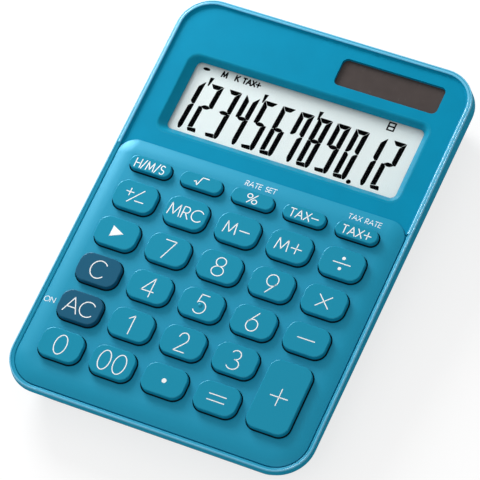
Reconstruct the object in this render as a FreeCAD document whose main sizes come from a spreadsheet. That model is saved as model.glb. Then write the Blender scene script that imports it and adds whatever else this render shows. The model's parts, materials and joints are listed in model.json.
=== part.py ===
import FreeCAD, Part
import itertools
import math
import os
import re

import Sketcher
from FreeCAD import Placement, Rotation, Vector

# Desk calculator: a flat slab that leans towards the user on a wedge-shaped rear case.
# Frame of the whole object: millimetres, +Z up, +Y towards the display end, origin on the
# desk under the middle of the case. Most pieces are drawn flat, in the slab's own frame, whose
# level 0 is the foot of the front case's inner walls, and are then leant back by tilt_angle. The
# two case halves meet higher up, on a parting plane that leans a little less than the slab.

SIZES = {
    # Outline of the case
    "case_width": 105.0,
    "case_length": 149.5,
    "case_height": 24.6,
    "case_corner": 12.4,
    "tilt_angle": 4.0,
    # Front case: side wall, rim and floor of the face
    "rim_height": 5.0,
    "rim_inset": 2.1,
    "lip_inset": 1.35,
    "rim_round": 0.35,
    "side_draft": 6.3,
    "parting_level": 1.3,
    "parting_lean": 0.92,
    "skirt_inset": 4.3,
    "skirt_wall": 2.0,
    "floor_thickness": 1.6,
    # Key deck, raised above the display panel with a rolled edge and a dark groove round it
    "deck_end_corner": 6.2,
    "deck_groove": 0.9,
    "groove_depth": 1.3,
    "deck_kerb": 0.55,
    "deck_rise": 1.5,
    "deck_slope": 71.0,
    "deck_round": 16.0,
    "deck_wall": 1.7,
    "deck_side_wall": 4.2,
    # Keys
    "deck_side_margin": 6.46,
    "deck_front_margin": 8.35,
    "deck_back_margin": 6.05,
    "column_space": 2.77,
    "row_space": 2.63,
    "pill_space": 2.92,
    "key_corner": 3.95,
    "pill_length": 6.2,
    "pill_flat": 0.4,
    "key_rise": 2.05,
    "key_draft": 3.6,
    "key_edge": 0.35,
    "key_gap": 0.25,
    "flange_margin": 0.8,
    "flange_corner": 3.0,
    "flange_thickness": 1.0,
    "flange_gap": 0.1,
    "post_size": 3.2,
    "post_gap": 0.1,
    # Dome sheet and board
    "sheet_margin": 1.6,
    "sheet_thickness": 0.8,
    "dome_height": 2.9,
    "dome_width": 9.0,
    "dome_length": 5.2,
    "dome_draft": 22.0,
    "board_depth": 3.6,
    "board_thickness": 1.6,
    "board_setback": 3.65,
    "board_corner": 3.0,
    # Display panel and its windows
    "panel_drop": 1.05,
    "panel_thickness": 1.2,
    "panel_gap": 0.15,
    "panel_leg": 3.0,
    "display_gap": 5.95,
    "display_width": 85.6,
    "display_length": 30.0,
    "display_corner": 3.6,
    "display_depth": 2.6,
    "bevel_width": 2.2,
    "bevel_length": 1.3,
    "window_corner": 1.8,
    "bezel_wall": 1.2,
    "solar_gap": 3.87,
    "solar_end_gap": 4.58,
    "solar_side_gap": 8.54,
    "solar_width": 36.0,
    "solar_length": 10.2,
    "solar_corner": 1.9,
    "solar_margin": 1.0,
    "solar_thickness": 0.7,
    "lead_radius": 0.4,
    "lead_spread": 10.0,
    # Display stack
    "lens_thickness": 0.8,
    "glass_thickness": 0.7,
    "reflector_thickness": 0.2,
    "glass_margin": 0.7,
    "contact_ledge": 2.6,
    "zebra_width": 1.8,
    "zebra_inset": 3.0,
    "holder_wall": 1.0,
    "holder_lip": 2.2,
    "fit_gap": 0.15,
    # Parts on the board
    "chip_radius": 6.5,
    "chip_height": 1.7,
    "chip_round": 1.5,
    "chip_inset": 39.0,
    "capacitor_radius": 2.5,
    "capacitor_height": 6.5,
    "capacitor_x": 18.0,
    "capacitor_inset": 21.0,
    # Rear case
    "rear_step": 0.4,
    "rear_wall": 1.8,
    "rear_flare_side": 7.0,
    "rear_flare_end": 4.75,
    "rear_floor_corner": 9.0,
    "foot_height": 1.0,
    "foot_radius": 5.0,
    "foot_recess": 0.5,
    "foot_draft": 8.0,
    "foot_side_inset": 9.5,
    "foot_front_inset": 10.0,
    "foot_rear_inset": 19.0,
    # Screws
    "screw_side_inset": 12.5,
    "screw_end_inset": 11.75,
    "screw_radius": 1.3,
    "screw_head_radius": 2.4,
    "screw_head_height": 1.6,
    "screw_recess": 2.25,
    "screw_tip_gap": 0.4,
    "screw_gap": 0.1,
    "boss_wall": 1.5,
    "boss_depth": 6.0,
    "board_boss_wall": 1.2,
    "board_screw_radius": 0.9,
    "board_screw_length": 5.0,
    "board_screw_head": 1.9,
    "board_screw_head_height": 1.1,
    # Battery, its contacts and its door
    "cell_radius": 5.8,
    "cell_height": 5.4,
    "cell_cap_radius": 4.9,
    "cell_cap_height": 0.3,
    "cell_side_inset": 25.5,
    "cell_end_inset": 30.0,
    "cup_gap": 1.0,
    "cup_wall": 1.4,
    "cup_rim": 0.55,
    "pillar_radius": 2.9,
    "contact_thickness": 0.3,
    "contact_width": 4.0,
    "contact_gap": 0.05,
    "contact_lift": 1.35,
    "door_margin": 1.05,
    "door_tongue": 11.5,
    "door_corner": 2.5,
    "door_thickness": 1.0,
    "door_gap": 0.15,
    "door_screw_inset": 8.0,
    "door_screw_radius": 0.9,
    "door_screw_head": 1.8,
    "door_screw_head_height": 0.5,
    "door_screw_length": 5.0,
}

# Lengths that follow from the sizes above, as formulas. Levels count up from the slab's level 0.
DERIVED = {
    "half_width": "case_width / 2",
    "half_length": "case_length / 2",
    "rim_lean": "rim_height * tan(side_draft)",
    "far_rim": "(half_length - rim_lean) * sin(tilt_angle) + rim_height * cos(tilt_angle)",
    "slab_height": "case_height - far_rim",
    "skirt_x": "half_width - skirt_inset",
    "skirt_y": "half_length - skirt_inset",
    "skirt_corner": "case_corner - skirt_inset",
    "face_x": "half_width - rim_inset",
    "face_y": "half_length - rim_inset",
    "face_corner": "case_corner - rim_inset",
    "lip_x": "half_width - lip_inset",
    "lip_y": "half_length - lip_inset",
    "lip_corner": "case_corner - lip_inset",
    "panel_top": "rim_height - panel_drop",
    "floor_top": "panel_top - panel_thickness",
    "floor_under": "floor_top - floor_thickness",
    "panel_front": "deck_end - panel_leg",
    "deck_x": "lip_x - deck_groove",
    "deck_y": "lip_y - deck_groove",
    "deck_corner": "lip_corner - deck_groove",
    "deck_edge": "panel_top + deck_kerb",
    "solar_offset": "face_x - solar_side_gap - solar_width / 2",
    "solar_centre": "face_y - solar_end_gap - solar_length / 2",
    "display_back": "solar_centre - solar_length / 2 - solar_gap",
    "display_centre": "display_back - display_length / 2",
    "deck_end": "display_back - display_length - display_gap",
    "deck_length": "deck_y + deck_end",
    "deck_top": "panel_top + deck_rise",
    "deck_under": "deck_top - deck_wall",
    "key_top": "deck_top + key_rise",
    "flange_top": "deck_under - flange_gap",
    "flange_bottom": "flange_top - flange_thickness",
    "key_width": "(2 * (deck_x - deck_side_margin) - 4 * column_space) / 5",
    "column_pitch": "key_width + column_space",
    "first_column": "-2 * column_pitch",
    "pill_room": "deck_back_margin + pill_length + pill_space",
    "key_length": "(deck_length - deck_front_margin - 4 * row_space - pill_room) / 5",
    "row_pitch": "key_length + row_space",
    "front_row": "deck_front_margin + key_length / 2 - deck_y",
    "pill_row": "deck_end - deck_back_margin - pill_length / 2",
    "tall_row": "front_row + row_pitch / 2",
    "pill_corner": "(pill_length - pill_flat) / 2",
    "tall_length": "key_length + row_pitch",
    "sheet_top": "sheet_thickness - board_depth",
    "dome_top": "sheet_top + dome_height",
    "board_end": "face_y - board_setback",
    "board_bottom": "-board_depth - board_thickness",
    "cavity_x": "deck_x - deck_side_wall",
    "cavity_front": "deck_y - deck_side_wall",
    "cavity_back": "deck_end - deck_side_wall",
    "sheet_x": "cavity_x - sheet_margin",
    "sheet_front": "cavity_front - sheet_margin",
    "sheet_back": "cavity_back - sheet_margin",
    "window_level": "panel_top - display_depth",
    "window_x": "display_width / 2 - bevel_width",
    "window_y": "display_length / 2 - bevel_length",
    "bezel_x": "window_x + bevel_width * panel_thickness / display_depth + bezel_wall",
    "bezel_y": "window_y + bevel_length * panel_thickness / display_depth + bezel_wall",
    "glass_x": "window_x + glass_margin",
    "glass_y": "window_y + glass_margin",
    "lens_bottom": "window_level - lens_thickness",
    "front_glass_bottom": "lens_bottom - glass_thickness",
    "rear_glass_bottom": "front_glass_bottom - glass_thickness",
    "stack_bottom": "rear_glass_bottom - reflector_thickness",
    "holder_x": "glass_x + fit_gap + holder_wall",
    "holder_y": "glass_y + fit_gap + holder_wall",
    "opening_x": "max(holder_x; bezel_x) + 2 * fit_gap",
    "opening_y": "max(holder_y; bezel_y) + 2 * fit_gap",
    "zebra_y": "display_centre - glass_y + contact_ledge / 2",
    "zebra_x": "glass_x - zebra_inset",
    "cell_seat_x": "solar_width / 2 + solar_margin",
    "cell_seat_y": "solar_length / 2 + solar_margin",
    "solar_bottom": "floor_top - solar_thickness",
    "rear_floor_x": "half_width - rear_flare_side",
    "rear_floor_y": "half_length - rear_flare_end",
    "floor_middle": "foot_height + rear_wall / 2",
    "foot_x": "rear_floor_x - foot_side_inset",
    "foot_front": "foot_front_inset - rear_floor_y",
    "foot_rear": "rear_floor_y - foot_rear_inset",
    "screw_x": "half_width - screw_side_inset",
    "screw_far": "half_length - screw_end_inset",
    "screw_near": "(cavity_back + display_centre - opening_y) / 2",
    "near_height": "slab_height / cos(tilt_angle) + screw_near * tan(tilt_angle)",
    "head_bottom": "(foot_height + screw_recess) / cos(tilt_angle)",
    "screw_head_depth": "near_height - head_bottom - screw_head_height",
    "screw_hole": "screw_radius + screw_gap",
    "boss_radius": "screw_hole + boss_wall",
    "tower_hole": "screw_head_radius + 2 * screw_gap",
    "tower_radius": "tower_hole + boss_wall",
    "bite_gap": "screw_gap / 2",
    "board_boss_hole": "board_screw_radius + bite_gap",
    "board_boss_radius": "board_boss_hole + board_boss_wall",
    "board_boss_x": "1.5 * column_pitch",
    "board_boss_front": "front_row + 1.5 * row_pitch",
    "rear_inside": "foot_height + rear_wall",
    "cell_x": "cell_side_inset - rear_floor_x",
    "cell_y": "rear_floor_y - cell_end_inset",
    "cup_radius": "cell_radius + cup_gap",
    "cell_bottom": "rear_inside + fit_gap",
    "cell_top": "cell_bottom + cell_height",
    "board_under_cell": "slab_height + cell_y * tan(tilt_angle) + board_bottom / cos(tilt_angle)",
    "door_reach": "cup_radius + cup_wall + door_margin",
    "door_left": "cell_x - door_reach",
    "door_right": "cell_x + door_reach + door_tongue",
    "door_screw_x": "door_right - door_screw_inset",
    "door_seat": "foot_height + door_thickness",
}

KEY_COLUMNS = 5
KEY_ROWS = 5
LEVEL_TOLERANCE = 1e-4

doc = FreeCAD.newDocument("desk_calculator")
sheet = doc.addObject("Spreadsheet::Sheet", "Sizes")
for row, (alias, number) in enumerate(SIZES.items(), start=1):
    sheet.set(f"A{row}", alias)
    sheet.set(f"B{row}", str(number))
    sheet.setAlias(f"B{row}", alias)
doc.recompute()

pieces = []


# Formulas

def spelled_out(formula):
    """The formula with each derived length written out and each size read from the sheet."""
    def replacement(match):
        word = match.group(0)
        if word in DERIVED:
            return f"({spelled_out(DERIVED[word])})"
        return f"Sizes.{word}" if word in SIZES else word
    return re.sub(r"[a-z][a-z0-9_]*", replacement, str(formula))


def bind(item, path, formula):
    item.setExpression(path, spelled_out(formula))


def value(formula):
    return float(sheet.evalExpression(spelled_out(formula)))


# Bodies, sketches and features

def level_body(label):
    """A piece drawn in the frame of the desk."""
    body = doc.addObject("PartDesign::Body", label)
    body.Label = label
    pieces.append(body)
    return body


def slab_body(label, x="0", y="0"):
    """A piece drawn in the slab's frame, around the point x, y of its level 0."""
    body = level_body(label)
    body.Placement = Placement(Vector(), Rotation(Vector(1, 0, 0), value("tilt_angle")))
    bind(body, "Placement.Rotation.Angle", "tilt_angle")
    bind(body, "Placement.Base.x", x)
    bind(body, "Placement.Base.y", f"({y}) * cos(tilt_angle)")
    bind(body, "Placement.Base.z", f"slab_height + ({y}) * sin(tilt_angle)")
    return body


def origin_part(body, role):
    return next(part for part in body.Origin.OriginFeatures if part.Role == role)


def new_sketch(body, name, level, leant=False, lean=None):
    """A flat sketch at a level of the body, or at a level of the slab inside a level body, which it
    is then leant back with. A lean of its own is an angle in place of its body's or the slab's."""
    sketch = body.newObject("Sketcher::SketchObject", name)
    sketch.AttachmentSupport = [(origin_part(body, "XY_Plane"), "")]
    sketch.MapMode = "FlatFace"
    lean = lean or ("tilt_angle" if leant else None)
    if lean:
        sketch.AttachmentOffset = Placement(Vector(), Rotation(Vector(1, 0, 0), value(lean)))
        bind(sketch, "AttachmentOffset.Rotation.Angle", lean)
    if leant:
        bind(sketch, "AttachmentOffset.Base.y", f"-({level}) * sin(tilt_angle)")
        bind(sketch, "AttachmentOffset.Base.z", f"slab_height + ({level}) * cos(tilt_angle)")
    else:
        bind(sketch, "AttachmentOffset.Base.z", level)
    return sketch


def dimension(sketch, constraint, formula):
    index = sketch.addConstraint(constraint)
    bind(sketch, f"Constraints[{index}]", formula)


def rounded_rectangle(sketch, left, right, bottom, top, radius, top_radius=None):
    """A rectangle with round corners; the two top corners may have a radius of their own."""
    x0, x1, y0, y1, r0 = (value(formula) for formula in (left, right, bottom, top, radius))
    r1 = value(top_radius) if top_radius else r0
    first = sketch.GeometryCount
    corners = [(x1 - r0, y0 + r0, r0), (x1 - r1, y1 - r1, r1),
               (x0 + r1, y1 - r1, r1), (x0 + r0, y0 + r0, r0)]
    sides = [((x0 + r0, y0), (x1 - r0, y0)), ((x1, y0 + r0), (x1, y1 - r1)),
             ((x1 - r1, y1), (x0 + r1, y1)), ((x0, y1 - r1), (x0, y0 + r0))]
    turn = -math.pi / 2
    for (start, end), (x, y, r) in zip(sides, corners):
        sketch.addGeometry(Part.LineSegment(Vector(*start), Vector(*end)))
        whole = Part.Circle(Vector(x, y), Vector(0, 0, 1), r)
        sketch.addGeometry(Part.ArcOfCircle(whole, turn, turn + math.pi / 2))
        turn += math.pi / 2
    side_bottom, side_right, side_top, side_left = range(first, first + 8, 2)
    corner_a, corner_b, corner_c, corner_d = range(first + 1, first + 8, 2)
    for index in range(8):
        sketch.addConstraint(Sketcher.Constraint("Tangent", first + index, 2, first + (index + 1) % 8, 1))
    sketch.addConstraint([
        Sketcher.Constraint("Horizontal", side_bottom),
        Sketcher.Constraint("Horizontal", side_top),
        Sketcher.Constraint("Vertical", side_left),
        Sketcher.Constraint("Vertical", side_right),
        Sketcher.Constraint("Equal", corner_a, corner_d),
        Sketcher.Constraint("Equal", corner_b, corner_c),
    ])
    dimension(sketch, Sketcher.Constraint("DistanceX", -1, 1, side_left, 1, x0), left)
    dimension(sketch, Sketcher.Constraint("DistanceX", -1, 1, side_right, 1, x1), right)
    dimension(sketch, Sketcher.Constraint("DistanceY", -1, 1, side_bottom, 1, y0), bottom)
    dimension(sketch, Sketcher.Constraint("DistanceY", -1, 1, side_top, 1, y1), top)
    dimension(sketch, Sketcher.Constraint("Radius", corner_a, r0), radius)
    dimension(sketch, Sketcher.Constraint("Radius", corner_b, r1), top_radius or radius)


def centred_rectangle(sketch, half_x, half_y, radius, x="0", y="0"):
    rounded_rectangle(sketch, f"({x}) - ({half_x})", f"({x}) + ({half_x})",
                      f"({y}) - ({half_y})", f"({y}) + ({half_y})", radius)


def polygon(sketch, points):
    """A closed outline of straight sides through points given as pairs of formulas."""
    first = sketch.GeometryCount
    places = [Vector(value(x), value(y)) for x, y in points]
    count = len(points)
    for index in range(count):
        sketch.addGeometry(Part.LineSegment(places[index], places[(index + 1) % count]))
    for index in range(count):
        following = first + (index + 1) % count
        sketch.addConstraint(Sketcher.Constraint("Coincident", first + index, 2, following, 1))
    for index, (x, y) in enumerate(points):
        dimension(sketch, Sketcher.Constraint("DistanceX", -1, 1, first + index, 1, places[index].x), x)
        dimension(sketch, Sketcher.Constraint("DistanceY", -1, 1, first + index, 1, places[index].y), y)


def box_outline(sketch, left, right, bottom, top):
    polygon(sketch, [(left, bottom), (right, bottom), (right, top), (left, top)])


def circle(sketch, radius, x="0", y="0"):
    centre = Vector(value(x), value(y))
    index = sketch.addGeometry(Part.Circle(centre, Vector(0, 0, 1), value(radius)))
    dimension(sketch, Sketcher.Constraint("DistanceX", -1, 1, index, 3, centre.x), x)
    dimension(sketch, Sketcher.Constraint("DistanceY", -1, 1, index, 3, centre.y), y)
    dimension(sketch, Sketcher.Constraint("Radius", index, value(radius)), radius)


def pad(body, sketch, length, down=False, draft=None):
    feature = body.newObject("PartDesign::Pad", f"{sketch.Name}_pad")
    feature.Profile = sketch
    bind(feature, "Length", length)
    feature.Reversed = down
    if draft:
        bind(feature, "TaperAngle", f"-({draft})")
    doc.recompute()
    return feature


def pocket(body, sketch, depth=None, up=False):
    """Cuts the sketch out of the body, to a depth or right through."""
    volume = body.Shape.Volume
    feature = body.newObject("PartDesign::Pocket", f"{sketch.Name}_cut")
    feature.Profile = sketch
    feature.Reversed = up
    if depth:
        bind(feature, "Length", depth)
    else:
        feature.Type = "ThroughAll"
    doc.recompute()
    if body.Shape.Volume >= volume:
        raise RuntimeError(f"{feature.Name} cuts nothing")
    return feature


def loft(body, kind, lower, upper):
    feature = body.newObject(f"PartDesign::{kind}", f"{lower.Name}_loft")
    feature.Profile = lower
    feature.Sections = [upper]
    feature.Ruled = True
    doc.recompute()
    return feature


def grid(body, feature, x_step, x_count, y_step="0", y_count=1):
    """Repeats a feature along +X, and along +Y where a second count is given."""
    pattern = body.newObject("PartDesign::LinearPattern", f"{feature.Name}_grid")
    pattern.Originals = [feature]
    pattern.Direction = (origin_part(body, "X_Axis"), [""])
    pattern.Occurrences = x_count
    bind(pattern, "Length", f"({x_step}) * {x_count - 1}")
    if y_count > 1:
        pattern.Direction2 = (origin_part(body, "Y_Axis"), [""])
        pattern.Occurrences2 = y_count
        bind(pattern, "Length2", f"({y_step}) * {y_count - 1}")
    body.Tip = pattern
    doc.recompute()
    return pattern


def edges_at(feature, level):
    """Names of the feature's edges that lie flat at a level."""
    height = value(level)
    names = []
    for index, edge in enumerate(feature.Shape.Edges, start=1):
        box = edge.BoundBox
        if max(abs(box.ZMin - height), abs(box.ZMax - height)) < LEVEL_TOLERANCE:
            names.append(f"Edge{index}")
    return names


def soften(body, kind, base, edges, size_name, formula):
    """A fillet or chamfer on edges of the base feature."""
    feature = body.newObject(f"PartDesign::{kind}", f"{base.Name}_{kind.lower()}")
    feature.Base = (base, edges)
    bind(feature, size_name, formula)
    doc.recompute()
    return feature


# Front case

def key_outline(sketch, length="key_length", radius="key_corner", margin="0", x="0", y="0"):
    centred_rectangle(sketch, f"key_width / 2 + {margin}", f"({length}) / 2 + {margin}",
                      f"{radius} + {margin}", x, y)


def screw_bosses(body):
    """Tubes under the floor, which the case screws bite into."""
    sketch = new_sketch(body, "case_boss", "floor_under")
    for radius in ("boss_radius", "screw_hole"):
        circle(sketch, radius, "-screw_x", "screw_near")
    boss = pad(body, sketch, "floor_under + boss_depth", down=True)
    grid(body, boss, "2 * screw_x", 2, "screw_far - screw_near", 2)


def board_bosses(body):
    """Tubes under the deck, between the keys, which the board is screwed to."""
    sketch = new_sketch(body, "board_boss", "deck_under")
    for radius in ("board_boss_radius", "board_boss_hole"):
        circle(sketch, radius, "-board_boss_x", "board_boss_front")
    boss = pad(body, sketch, "deck_under + board_depth", down=True)
    grid(body, boss, "2 * board_boss_x", 2, "2 * row_pitch", 2)


def key_openings(body):
    square = new_sketch(body, "key_opening", "deck_top")
    key_outline(square, margin="key_gap", x="first_column", y="front_row")
    grid(body, pocket(body, square, "2 * deck_wall"), "column_pitch", KEY_COLUMNS, "row_pitch", KEY_ROWS)
    pill = new_sketch(body, "pill_opening", "deck_top")
    key_outline(pill, "pill_length", "pill_corner", "key_gap", "first_column", "pill_row")
    grid(body, pocket(body, pill, "2 * deck_wall"), "column_pitch", KEY_COLUMNS)
    tall = new_sketch(body, "tall_opening", "deck_top")
    key_outline(tall, "tall_length", margin="key_gap", x="-first_column", y="tall_row")
    pocket(body, tall, "2 * deck_wall")


def case_block(body):
    """The outer wall down to the leaning parting plane, with an inner skirt below it."""
    outline = new_sketch(body, "case_outline", "0")
    centred_rectangle(outline, "half_width", "half_length", "case_corner")
    pad(body, outline, "rim_height", draft="side_draft")
    parting = new_sketch(body, "parting_cut", "parting_level", lean="-parting_lean")
    box_outline(parting, "-case_width", "case_width", "-case_length", "case_length")
    pocket(body, parting)
    skirt = new_sketch(body, "skirt_outline", "0")
    centred_rectangle(skirt, "skirt_x", "skirt_y", "skirt_corner")
    pad(body, skirt, "floor_top")
    underside = new_sketch(body, "panel_underside", "0")
    rounded_rectangle(underside, "skirt_wall - skirt_x", "skirt_x - skirt_wall", "cavity_back + skirt_wall",
                      "skirt_y - skirt_wall", "skirt_corner - skirt_wall")
    pocket(body, underside, "floor_under", up=True)


def face_recesses(body):
    """The panel's seat in the upper half and the groove round the deck, inside one rim."""
    seat = new_sketch(body, "panel_seat", "rim_height")
    rounded_rectangle(seat, "-face_x", "face_x", "panel_front - panel_gap", "face_y",
                      "panel_gap", "face_corner")
    pocket(body, seat, "rim_height - floor_top")
    groove = new_sketch(body, "groove_outline", "rim_height")
    rounded_rectangle(groove, "-lip_x", "lip_x", "-lip_y", "panel_front", "lip_corner", "panel_gap")
    rim = pocket(body, groove, "groove_depth")
    soften(body, "Fillet", rim, edges_at(rim, "rim_height"), "Radius", "rim_round")


def key_deck(body):
    deck_sides = ("-deck_x", "deck_x", "-deck_y", "deck_end", "deck_corner", "deck_end_corner")
    kerb = new_sketch(body, "deck_kerb", "floor_top")
    rounded_rectangle(kerb, *deck_sides)
    pad(body, kerb, "deck_edge - floor_top")
    slope = new_sketch(body, "deck_slope", "deck_edge")
    rounded_rectangle(slope, *deck_sides)
    deck = pad(body, slope, "deck_top - deck_edge", draft="deck_slope")
    soften(body, "Fillet", deck, edges_at(deck, "deck_top"), "Radius", "deck_round")


def front_case():
    body = slab_body("front_case")
    case_block(body)
    face_recesses(body)
    key_deck(body)
    cavity = new_sketch(body, "key_cavity", "0")
    rounded_rectangle(cavity, "-cavity_x", "cavity_x", "-cavity_front", "cavity_back",
                      "deck_corner - deck_side_wall", "deck_end_corner - deck_side_wall")
    pocket(body, cavity, "deck_under", up=True)
    opening = new_sketch(body, "display_opening", "floor_top")
    centred_rectangle(opening, "opening_x", "opening_y", "fit_gap", "0", "display_centre")
    pocket(body, opening, "2 * floor_thickness")
    seat = new_sketch(body, "solar_seat", "floor_top")
    box_outline(seat, "solar_offset - cell_seat_x - fit_gap", "solar_offset + cell_seat_x + fit_gap",
                "solar_centre - cell_seat_y - fit_gap", "solar_centre + cell_seat_y + fit_gap")
    pocket(body, seat, "solar_thickness")
    lead = new_sketch(body, "lead_hole", "floor_top")
    circle(lead, "lead_radius + fit_gap", "solar_offset - lead_spread", "solar_centre")
    grid(body, pocket(body, lead, "2 * floor_thickness"), "2 * lead_spread", 2)
    key_openings(body)
    screw_bosses(body)
    board_bosses(body)


# Display

def display_panel():
    """The plate in the upper half, cut round the deck, with a bevelled window and a solar window."""
    body = slab_body("display_panel")
    plate = new_sketch(body, "plate", "floor_top")
    rounded_rectangle(plate, "-face_x + panel_gap", "face_x - panel_gap", "panel_front",
                      "face_y - panel_gap", "panel_gap", "face_corner - panel_gap")
    pad(body, plate, "panel_thickness")
    notch = new_sketch(body, "deck_notch", "panel_top")
    rounded_rectangle(notch, "-deck_x - panel_gap", "deck_x + panel_gap", "0", "deck_end + panel_gap",
                      "deck_end_corner + panel_gap")
    pocket(body, notch, "2 * panel_thickness")
    bezel = new_sketch(body, "bezel", "floor_top")
    centred_rectangle(bezel, "bezel_x", "bezel_y", "display_corner", "0", "display_centre")
    pad(body, bezel, "floor_top - window_level", down=True)
    outer = new_sketch(body, "bevel_outer", "panel_top")
    centred_rectangle(outer, "display_width / 2", "display_length / 2", "display_corner",
                      "0", "display_centre")
    inner = new_sketch(body, "bevel_inner", "window_level")
    centred_rectangle(inner, "window_x", "window_y", "window_corner", "0", "display_centre")
    loft(body, "SubtractiveLoft", outer, inner)
    solar = new_sketch(body, "solar_window", "panel_top")
    centred_rectangle(solar, "solar_width / 2", "solar_length / 2", "solar_corner",
                      "solar_offset", "solar_centre")
    pocket(body, solar, "2 * panel_thickness")


def display_sheet(label, top, thickness, front_setback="0"):
    """One flat sheet of the display stack; its front edge can leave the contact ledge free."""
    body = slab_body(label)
    outline = new_sketch(body, f"{label}_outline", top)
    box_outline(outline, "-glass_x", "glass_x",
                f"display_centre - glass_y + {front_setback}", "display_centre + glass_y")
    pad(body, outline, thickness, down=True)


def lcd_holder():
    """Frame between board and panel: a tray for the display stack, with a slot for the connector."""
    body = slab_body("lcd_holder")
    outline = new_sketch(body, "holder_outline", "-board_depth")
    box_outline(outline, "-holder_x", "holder_x", "display_centre - holder_y", "display_centre + holder_y")
    pad(body, outline, "window_level + board_depth")
    tray = new_sketch(body, "holder_tray", "window_level")
    box_outline(tray, "-glass_x - fit_gap", "glass_x + fit_gap",
                "display_centre - glass_y - fit_gap", "display_centre + glass_y + fit_gap")
    pocket(body, tray, "window_level - stack_bottom")
    middle = new_sketch(body, "holder_window", "window_level")
    box_outline(middle, "-glass_x + holder_lip", "glass_x - holder_lip",
                "zebra_y + zebra_width / 2 + holder_lip", "display_centre + glass_y - holder_lip")
    pocket(body, middle)
    slot = new_sketch(body, "connector_slot", "window_level")
    box_outline(slot, "-zebra_x - fit_gap", "zebra_x + fit_gap",
                "zebra_y - zebra_width / 2 - fit_gap", "zebra_y + zebra_width / 2 + fit_gap")
    pocket(body, slot)


def zebra_strip():
    body = slab_body("zebra_strip")
    outline = new_sketch(body, "zebra_outline", "-board_depth")
    box_outline(outline, "-zebra_x", "zebra_x", "zebra_y - zebra_width / 2", "zebra_y + zebra_width / 2")
    pad(body, outline, "front_glass_bottom + board_depth")


def solar_parts():
    cell = slab_body("solar_cell")
    outline = new_sketch(cell, "cell_outline", "floor_top")
    box_outline(outline, "solar_offset - cell_seat_x", "solar_offset + cell_seat_x",
                "solar_centre - cell_seat_y", "solar_centre + cell_seat_y")
    pad(cell, outline, "solar_thickness", down=True)
    leads = slab_body("solar_leads")
    section = new_sketch(leads, "lead_section", "solar_bottom")
    circle(section, "lead_radius", "solar_offset - lead_spread", "solar_centre")
    grid(leads, pad(leads, section, "solar_bottom + board_depth", down=True), "2 * lead_spread", 2)


# Board and dome sheet

def main_board():
    body = slab_body("main_board")
    outline = new_sketch(body, "board_outline", "-board_depth")
    rounded_rectangle(outline, "-sheet_x", "sheet_x", "-sheet_front", "board_end", "board_corner")
    pad(body, outline, "board_thickness", down=True)
    passage = new_sketch(body, "boss_passage", "-board_depth")
    circle(passage, "boss_radius + 2 * fit_gap", "-screw_x", "screw_near")
    grid(body, pocket(body, passage), "2 * screw_x", 2, "screw_far - screw_near", 2)
    screw = new_sketch(body, "board_screw_hole", "-board_depth")
    circle(screw, "board_screw_radius + screw_gap", "-board_boss_x", "board_boss_front")
    grid(body, pocket(body, screw), "2 * board_boss_x", 2, "2 * row_pitch", 2)


def dome_sheet():
    """Silicone sheet on the board, with a sprung dome under every key post."""
    body = slab_body("dome_sheet")
    outline = new_sketch(body, "sheet_outline", "-board_depth")
    rounded_rectangle(outline, "-sheet_x", "sheet_x", "-sheet_front", "sheet_back", "board_corner")
    pad(body, outline, "sheet_thickness")
    for name, y, rows in (("dome", "front_row", KEY_ROWS), ("pill_dome", "pill_row", 1)):
        base = new_sketch(body, name, "sheet_top")
        box_outline(base, "first_column - dome_width / 2", "first_column + dome_width / 2",
                    f"{y} - dome_length / 2", f"{y} + dome_length / 2")
        dome = pad(body, base, "dome_height", draft="dome_draft")
        grid(body, dome, "column_pitch", KEY_COLUMNS, "row_pitch", rows)
    hole = new_sketch(body, "sheet_hole", "sheet_top")
    circle(hole, "board_boss_radius + fit_gap", "-board_boss_x", "board_boss_front")
    grid(body, pocket(body, hole, "2 * sheet_thickness"), "2 * board_boss_x", 2, "2 * row_pitch", 2)


def board_parts():
    chip = slab_body("chip_cover", y="board_end - chip_inset")
    sketch = new_sketch(chip, "chip_outline", "board_bottom")
    circle(sketch, "chip_radius")
    blob = pad(chip, sketch, "chip_height", down=True)
    soften(chip, "Fillet", blob, edges_at(blob, "board_bottom - chip_height"), "Radius", "chip_round")
    capacitor = slab_body("buffer_capacitor", x="capacitor_x", y="board_end - capacitor_inset")
    sketch = new_sketch(capacitor, "can_outline", "board_bottom")
    circle(sketch, "capacitor_radius")
    pad(capacitor, sketch, "capacitor_height", down=True)


# Keys

def key(label, column, row, length="key_length", radius="key_corner", posts=("0",)):
    """A key cap that stands through the deck, with a retaining flange and a post down to each dome."""
    body = slab_body(label, f"{column} * column_pitch", row)
    cap = new_sketch(body, f"{label}_cap", "flange_top")
    key_outline(cap, length, radius)
    top = pad(body, cap, "key_top - flange_top", draft="key_draft")
    soften(body, "Chamfer", top, edges_at(top, "key_top"), "Size", "key_edge")
    flange = new_sketch(body, f"{label}_flange", "flange_bottom")
    x = "key_width / 2 + key_gap + flange_margin"
    y = f"({length}) / 2 + key_gap + flange_margin"
    cut = f"min(flange_corner; ({length}) / 3)"
    polygon(flange, [(f"-({x}) + {cut}", f"-({y})"), (f"{x} - {cut}", f"-({y})"),
                     (x, f"-({y}) + {cut}"), (x, f"{y} - {cut}"),
                     (f"{x} - {cut}", y), (f"-({x}) + {cut}", y),
                     (f"-({x})", f"{y} - {cut}"), (f"-({x})", f"-({y}) + {cut}")])
    pad(body, flange, "flange_thickness")
    for index, offset in enumerate(posts):
        post = new_sketch(body, f"{label}_post_{index}", "flange_bottom")
        box_outline(post, "-post_size / 2", "post_size / 2",
                    f"{offset} - post_size / 2", f"{offset} + post_size / 2")
        pad(body, post, "flange_bottom - dome_top - post_gap", down=True)


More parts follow.
